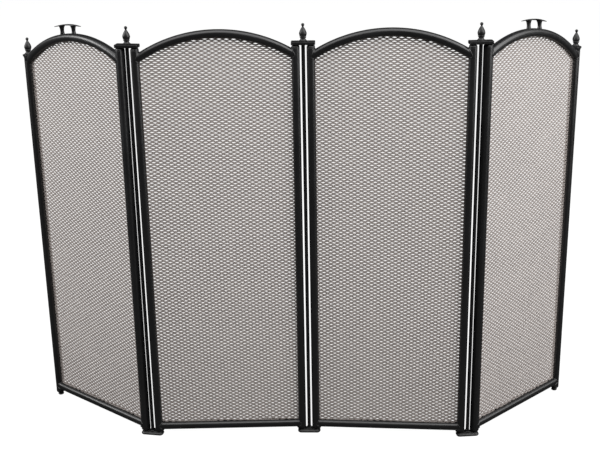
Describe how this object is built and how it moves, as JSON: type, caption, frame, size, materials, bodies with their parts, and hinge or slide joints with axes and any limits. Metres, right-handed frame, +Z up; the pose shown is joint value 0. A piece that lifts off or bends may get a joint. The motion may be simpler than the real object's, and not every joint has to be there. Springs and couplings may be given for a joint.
{
  "type": "fireplace screen",
  "caption": "Folding fireplace screen: arched tube-framed mesh panels on hinge posts with finials, and a finger handle on each end panel.",
  "frame": {"origin": "on the floor, below the middle of the screen's bounding box as it stands folded", "axes": "+Z up, +X to the right along the screen, the front of the screen faces -Y"},
  "size_m": [0.9624, 0.1916, 0.7266],
  "materials": {
    "frame_tube": "black powder coat, satin",
    "casting": "black powder coat over a casting, satin",
    "tie_rod": "black powder coat, satin",
    "mesh": "black powder coat on expanded steel",
    "handle": "black powder coat, semi-gloss",
    "glide": "black plastic glide"
  },
  "bodies": {
    "centre_post": {"centre_post_cap": "casting", "centre_post_finial": "casting", "centre_post_tie_rod": "tie_rod", "centre_post_foot": "casting"},
    "centre_left_panel": {"centre_left_panel_inner_stile": "frame_tube", "centre_left_panel_outer_stile": "frame_tube", "centre_left_panel_arch_rail": "frame_tube", "centre_left_panel_bottom_rail": "frame_tube", "centre_left_panel_mesh": "mesh", "centre_left_panel_inner_top_pivot": "casting", "centre_left_panel_inner_bottom_pivot": "casting", "centre_left_panel_outer_top_pivot": "casting", "centre_left_panel_outer_bottom_pivot": "casting"},
    "left_post": {"left_post_cap": "casting", "left_post_finial": "casting", "left_post_tie_rod": "tie_rod", "left_post_foot": "casting"},
    "left_panel": {"left_panel_inner_stile": "frame_tube", "left_panel_outer_stile": "frame_tube", "left_panel_arch_rail": "frame_tube", "left_panel_bottom_rail": "frame_tube", "left_panel_mesh": "mesh", "left_panel_inner_top_pivot": "casting", "left_panel_inner_bottom_pivot": "casting", "left_panel_outer_cap": "casting", "left_panel_outer_finial": "casting", "left_panel_outer_foot": "glide", "left_panel_handle": "handle"},
    "centre_right_panel": {"centre_right_panel_inner_stile": "frame_tube", "centre_right_panel_outer_stile": "frame_tube", "centre_right_panel_arch_rail": "frame_tube", "centre_right_panel_bottom_rail": "frame_tube", "centre_right_panel_mesh": "mesh", "centre_right_panel_inner_top_pivot": "casting", "centre_right_panel_inner_bottom_pivot": "casting", "centre_right_panel_outer_top_pivot": "casting", "centre_right_panel_outer_bottom_pivot": "casting"},
    "right_post": {"right_post_cap": "casting", "right_post_finial": "casting", "right_post_tie_rod": "tie_rod", "right_post_foot": "casting"},
    "right_panel": {"right_panel_inner_stile": "frame_tube", "right_panel_outer_stile": "frame_tube", "right_panel_arch_rail": "frame_tube", "right_panel_bottom_rail": "frame_tube", "right_panel_mesh": "mesh", "right_panel_inner_top_pivot": "casting", "right_panel_inner_bottom_pivot": "casting", "right_panel_outer_cap": "casting", "right_panel_outer_finial": "casting", "right_panel_outer_foot": "glide", "right_panel_handle": "handle"}
  },
  "joints": [
    {"name": "centre_left_fold", "type": "hinge", "parent": "centre_post", "child": "centre_left_panel", "pos_m": [-0.00243, -0.07417, 0.35], "axis": [0, 0, 1], "range_deg": [-2.8, 87.2]},
    {"name": "left_post_turn", "type": "hinge", "parent": "centre_left_panel", "child": "left_post", "pos_m": [-0.25773, -0.08666, 0.35], "axis": [0, 0, -1], "range_deg": [-10.9, 79.1]},
    {"name": "left_panel_fold", "type": "hinge", "parent": "left_post", "child": "left_panel", "pos_m": [-0.28188, -0.08322, 0.35], "axis": [0, 0, -1], "range_deg": [-29.8, 60.2]},
    {"name": "centre_right_fold", "type": "hinge", "parent": "centre_post", "child": "centre_right_panel", "pos_m": [0.02197, -0.07417, 0.35], "axis": [0, 0, -1], "range_deg": [-2.8, 87.2]},
    {"name": "right_post_turn", "type": "hinge", "parent": "centre_right_panel", "child": "right_post", "pos_m": [0.27726, -0.08666, 0.35], "axis": [0, 0, 1], "range_deg": [-9.3, 80.7]},
    {"name": "right_panel_fold", "type": "hinge", "parent": "right_post", "child": "right_panel", "pos_m": [0.30151, -0.0839, 0.35], "axis": [0, 0, 1], "range_deg": [-38.5, 51.5]}
  ]
}
